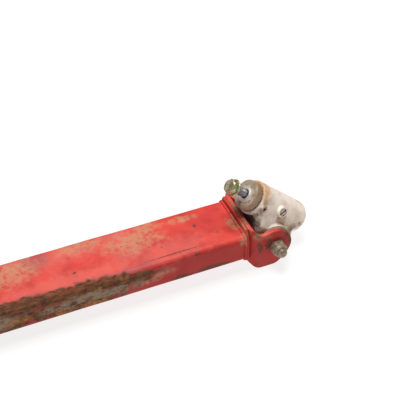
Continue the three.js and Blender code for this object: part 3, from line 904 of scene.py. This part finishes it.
# knuckle casting
casting = {"lower": 29, "reach": 38.7, "lowerBore": 12.3, "upper": 28.5, "front": -63.5, "back": 53,
           "endRound": 16, "bore": 18.8, "boreEnd": 24, "grainSize": 1.1, "smooth": 9, "rock": 0.35,
           "rockSize": 9, "bossFrom": 20, "holeFrom": 10,
           "neckSide": [(-29, -11), (-37, -6), (-45, 2.5), (-51, 14), (-54, 26), (-54, 33), (30, 33),
                        (30, 12), (27, -10)],
           "neckEnd": [(-38, -12), (-38, 12), (-32, 24), (-26, 35), (26, 35), (32, 24), (38, 12),
                       (38, -12)]}
keeper = {"x": -16.5, "angle": 19, "boss": 9.5, "top": 33.5, "radius": 6.4, "point": 3.5, "slotWide": 2.2,
          "slotDeep": 2.6, "slotTurn": -28, "tip": 13.1, "shoulder": 18, "gap": 0.3}
oiler = {"x": -54, "angle": 3, "boss": 5.5, "top": 31.5, "hole": 2.5}
rise = swivelRise / mm


def raised(boss):
    # square to the upper barrel's axis, turned up from the near side
    return (Matrix.Translation(Vector((boss["x"], 0, rise)) * mm)
            @ Matrix.Rotation(math.radians(-boss["angle"]), 4, "X")
            @ Matrix.Rotation(-math.pi / 2, 4, "Z"))


def placed(piece, matrix):
    piece.data.transform(matrix)
    return piece


def makeNeck():
    # the wall between the barrels: a side outline cut down to an end outline
    side, end = casting["neckSide"], casting["neckEnd"]
    reach, front, back = casting["reach"], casting["front"], casting["back"]
    neck = slab("neck", [Vector((x, -reach, z)) * mm for x, z in side], Vector((0, 2 * reach, 0)) * mm)
    trim = slab("neckTrim", [Vector((front, y, z)) * mm for y, z in end], Vector((back - front, 0, 0)) * mm)
    return combine(neck, trim, "INTERSECT")


def makeCasting():
    c = casting
    across = Matrix.Rotation(math.pi / 2, 4, "Z")
    lift = Matrix.Translation((0, 0, swivelRise))
    body = placed(bar("knuckleCasting", -c["reach"], c["reach"], c["lower"], 72), across)
    ends = c["endRound"]
    barrel = [[c["front"], 0], [c["front"], c["upper"] - 1], [c["front"] + 1, c["upper"]]]
    barrel += [[c["back"] - ends + ends * math.sin(a), c["upper"] - 1.2 - ends + ends * math.cos(a)]
               for a in [math.pi / 2 * step / 10 for step in range(11)]]
    barrel += [[c["back"], 0]]
    pieces = [placed(turned("upperBarrel", barrel, 72), lift)]
    pieces.append(makeNeck())
    pieces.append(placed(bar("keeperBoss", c["bossFrom"], keeper["top"], keeper["boss"], 40), raised(keeper)))
    pieces.append(placed(bar("oilerBoss", c["bossFrom"], oiler["top"], oiler["boss"], 32), raised(oiler)))
    for other in pieces:
        combine(body, other, "UNION")
    applied(body, "REMESH", mode="VOXEL", voxel_size=c["grainSize"] * mm)
    applied(body, "SMOOTH", factor=0.5, iterations=c["smooth"])
    rocked(body, c["rockSize"], c["rock"], 0.3)
    faceOut(body)
    past = 2                         # how far a cutter runs past the face it opens
    cutters = (
        (bar("spindleBore", c["front"] - past, c["boreEnd"], c["bore"]), lift),
        (bar("pinBore", -c["reach"] - past, c["reach"] + past, c["lowerBore"]), across),
        (bar("keeperHole", c["holeFrom"], keeper["top"] + past, keeper["radius"] + keeper["gap"], 40),
         raised(keeper)),
        (bar("oilHole", c["holeFrom"], oiler["top"] + past, oiler["hole"], 24), raised(oiler)))
    for cutter, spot in cutters:
        combine(body, placed(cutter, spot), "DIFFERENCE")
    setDown(body, knucklePlace, "knuckle_casting", "knuckle", creamPaint)


makeCasting()


def makeKeeper():
    k = keeper
    tip, shoulder, top = k["tip"], k["shoulder"], k["top"] - 0.1
    screw = turned("keeperScrew", [
        [tip, 0], [tip, k["point"] - 0.5], [tip + 0.5, k["point"]], [shoulder, k["point"]],
        [shoulder, k["radius"]], [top - 0.9, k["radius"]], [top - 0.3, k["radius"] - 0.3],
        [top, k["radius"] - 0.9], [top, 0]], 48)
    bpy.ops.object.select_all(action="DESELECT")
    bpy.ops.mesh.primitive_cube_add(
        size=1, location=(top * mm, 0, 0), rotation=(math.radians(k["slotTurn"]), 0, 0),
        scale=(2 * k["slotDeep"] * mm, k["slotWide"] * mm, 4 * k["radius"] * mm))
    combine(screw, begin("slotBlade"), "DIFFERENCE")
    wornEdges(screw, 0.2, 2, 50)
    setDown(screw, knucklePlace @ raised(k), "keeper_screw", "knuckle", screwPlate)


makeKeeper()

# spindle and swivel bolt, about the swivel axis
spindle = {"collar": 24.5, "front": -78, "back": -65, "edge": 2, "ring": 11, "ringTall": 1.2, "radius": 15,
           "end": 21, "thread": 7.3, "threadEnd": -36, "groove": 12.6, "grooveWide": 9, "grooveAt": -16.5}
swivel = {"radius": 7, "acrossFlats": 22, "headTall": 8.8, "near": -105, "washer": 14.5, "washerThick": 3,
          "tip": -38, "pitch": 2, "thread": 0.5, "bareTo": -80}


def makeSpindle():
    s = spindle
    groove = s["grooveWide"] / 2
    ringTop = s["front"] - s["ringTall"]
    at = s["grooveAt"]
    piece = turned("swivelSpindle", [
        [s["threadEnd"], 0], [s["threadEnd"], s["thread"]], [ringTop + 0.6, s["thread"]],
        [ringTop, s["thread"] + 0.6], [ringTop, s["ring"] - 1.6], [ringTop + 0.3, s["ring"] - 0.8],
        [s["front"] - 0.2, s["ring"] + 0.2], [s["front"], s["ring"] + 0.8],
        [s["front"], s["collar"] - s["edge"] - 0.5], [s["front"] + 0.3, s["collar"] - s["edge"] + 0.6],
        [s["front"] + s["edge"], s["collar"]], [s["back"] - 1, s["collar"]], [s["back"], s["collar"] - 1],
        [s["back"], s["radius"]], [at - groove, s["radius"]], [at - groove, s["groove"]],
        [at + groove, s["groove"]], [at + groove, s["radius"]], [s["end"] - 1, s["radius"]],
        [s["end"], s["radius"] - 1], [s["end"], 0]], 96)
    setDown(piece, swivelPlace, "swivel_spindle", "swivel", spindleSteel)


def makeSwivelBolt():
    s = swivel
    near = s["near"]
    start, edge = near - s["washerThick"], 0.6
    bore = s["radius"] + 0.3
    washer = turned("swivelWasher", [
        [start, bore], [start, s["washer"] - edge], [start + edge, s["washer"]], [near - edge, s["washer"]],
        [near, s["washer"] - edge], [near, bore], [start, bore]])
    setDown(washer, swivelPlace, "swivel_washer", "swivel", boltZinc)
    under = start - 0.3
    shank = [[under - 1, 0], [under - 1, s["radius"]], [s["bareTo"], s["radius"]]]
    shank += threaded(s["bareTo"] + 0.4, s["tip"] - 1, s["radius"], s["pitch"], s["thread"])
    shank += [[s["tip"], s["radius"] - 1.2], [s["tip"], 0]]
    bolt = turned("swivelBolt", shank, 48)
    combine(bolt, hexBlock("swivelHead", under, under - s["headTall"], s["acrossFlats"]), "UNION")
    wornEdges(bolt, 0.35, 2, 50)
    setDown(bolt, swivelPlace, "swivel_bolt", "swivel", boltZinc)


makeSpindle()
makeSwivelBolt()

# bushes stay as they are, in bronze
for nodeName, cadNode in frame["nodes"].items():
    if "bush" in nodeName:
        cadNode.data.materials.clear()
        cadNode.data.materials.append(bushBronze)
        smooth(cadNode)

# floor, light and camera
studio = {"floorSize": 40, "floorDrop": 0.4, "floorTone": 0.2, "floorGlow": 0.82, "sky": 0.06,
          "keySpot": (0.5, 0.6, 4.0), "keySize": 2.2, "keyPower": 185,
          "fillSpot": (-0.6, -2.6, 1.6), "fillSize": 2.0, "fillPower": 14.0, "aim": (0.4, 0, 0)}


def makeStudio():
    s = studio
    only(bpy.data.objects["beamTube"])
    bpy.ops.object.select_all(action="DESELECT")
    floorZ = cadBox[0].z - s["floorDrop"] * mm
    bpy.ops.mesh.primitive_plane_add(size=s["floorSize"], location=(0, 0, floorZ))
    floor = begin("floor")
    material, _, shader = startMaterial("paleFloor")
    shader.inputs["Base Color"].default_value = (s["floorTone"],) * 3 + (1,)
    shader.inputs["Roughness"].default_value = 0.9
    shader.inputs["Emission Color"].default_value = (1, 1, 1, 1)
    shader.inputs["Emission Strength"].default_value = s["floorGlow"]
    floor.data.materials.append(material)
    world = bpy.data.worlds.new("studioSky")
    world.use_nodes = True
    sky = world.node_tree
    backdrop = sky.nodes["Background"]
    backdrop.inputs["Color"].default_value = (1, 1, 1, 1)
    # white where it is seen, dim where it lights
    seen = node(sky, "LightPath", {}).outputs["Is Camera Ray"]
    sky.links.new(valueMix(sky, seen, s["sky"], 1.0), backdrop.inputs["Strength"])
    bpy.context.scene.world = world
    for name in ("key", "fill"):
        spot = s[name + "Spot"]
        light = bpy.data.lights.new(name + "Light", "AREA")
        light.size = s[name + "Size"]
        light.energy = s[name + "Power"]
        lamp = bpy.data.objects.new(name + "Light", light)
        lamp.location = spot
        lamp.rotation_euler = (Vector(s["aim"]) - Vector(spot)).to_track_quat("-Z", "Y").to_euler()
        bpy.context.scene.collection.objects.link(lamp)


makeStudio()
view = {"place": (0.0359, -1.0776, 1.1534), "elevation": 41.56, "azimuth": -23.53, "lens": 86.54,
        "sensor": 36}
eye = bpy.data.cameras.new("studioCamera")
eye.lens = view["lens"]
eye.sensor_width = view["sensor"]
camera = bpy.data.objects.new("studioCamera", eye)
camera.location = view["place"]
camera.rotation_euler = (math.radians(90 - view["elevation"]), 0, math.radians(view["azimuth"]))
bpy.context.scene.collection.objects.link(camera)
bpy.context.scene.camera = camera
bpy.context.scene.view_settings.view_transform = "Standard"
print("studio set")
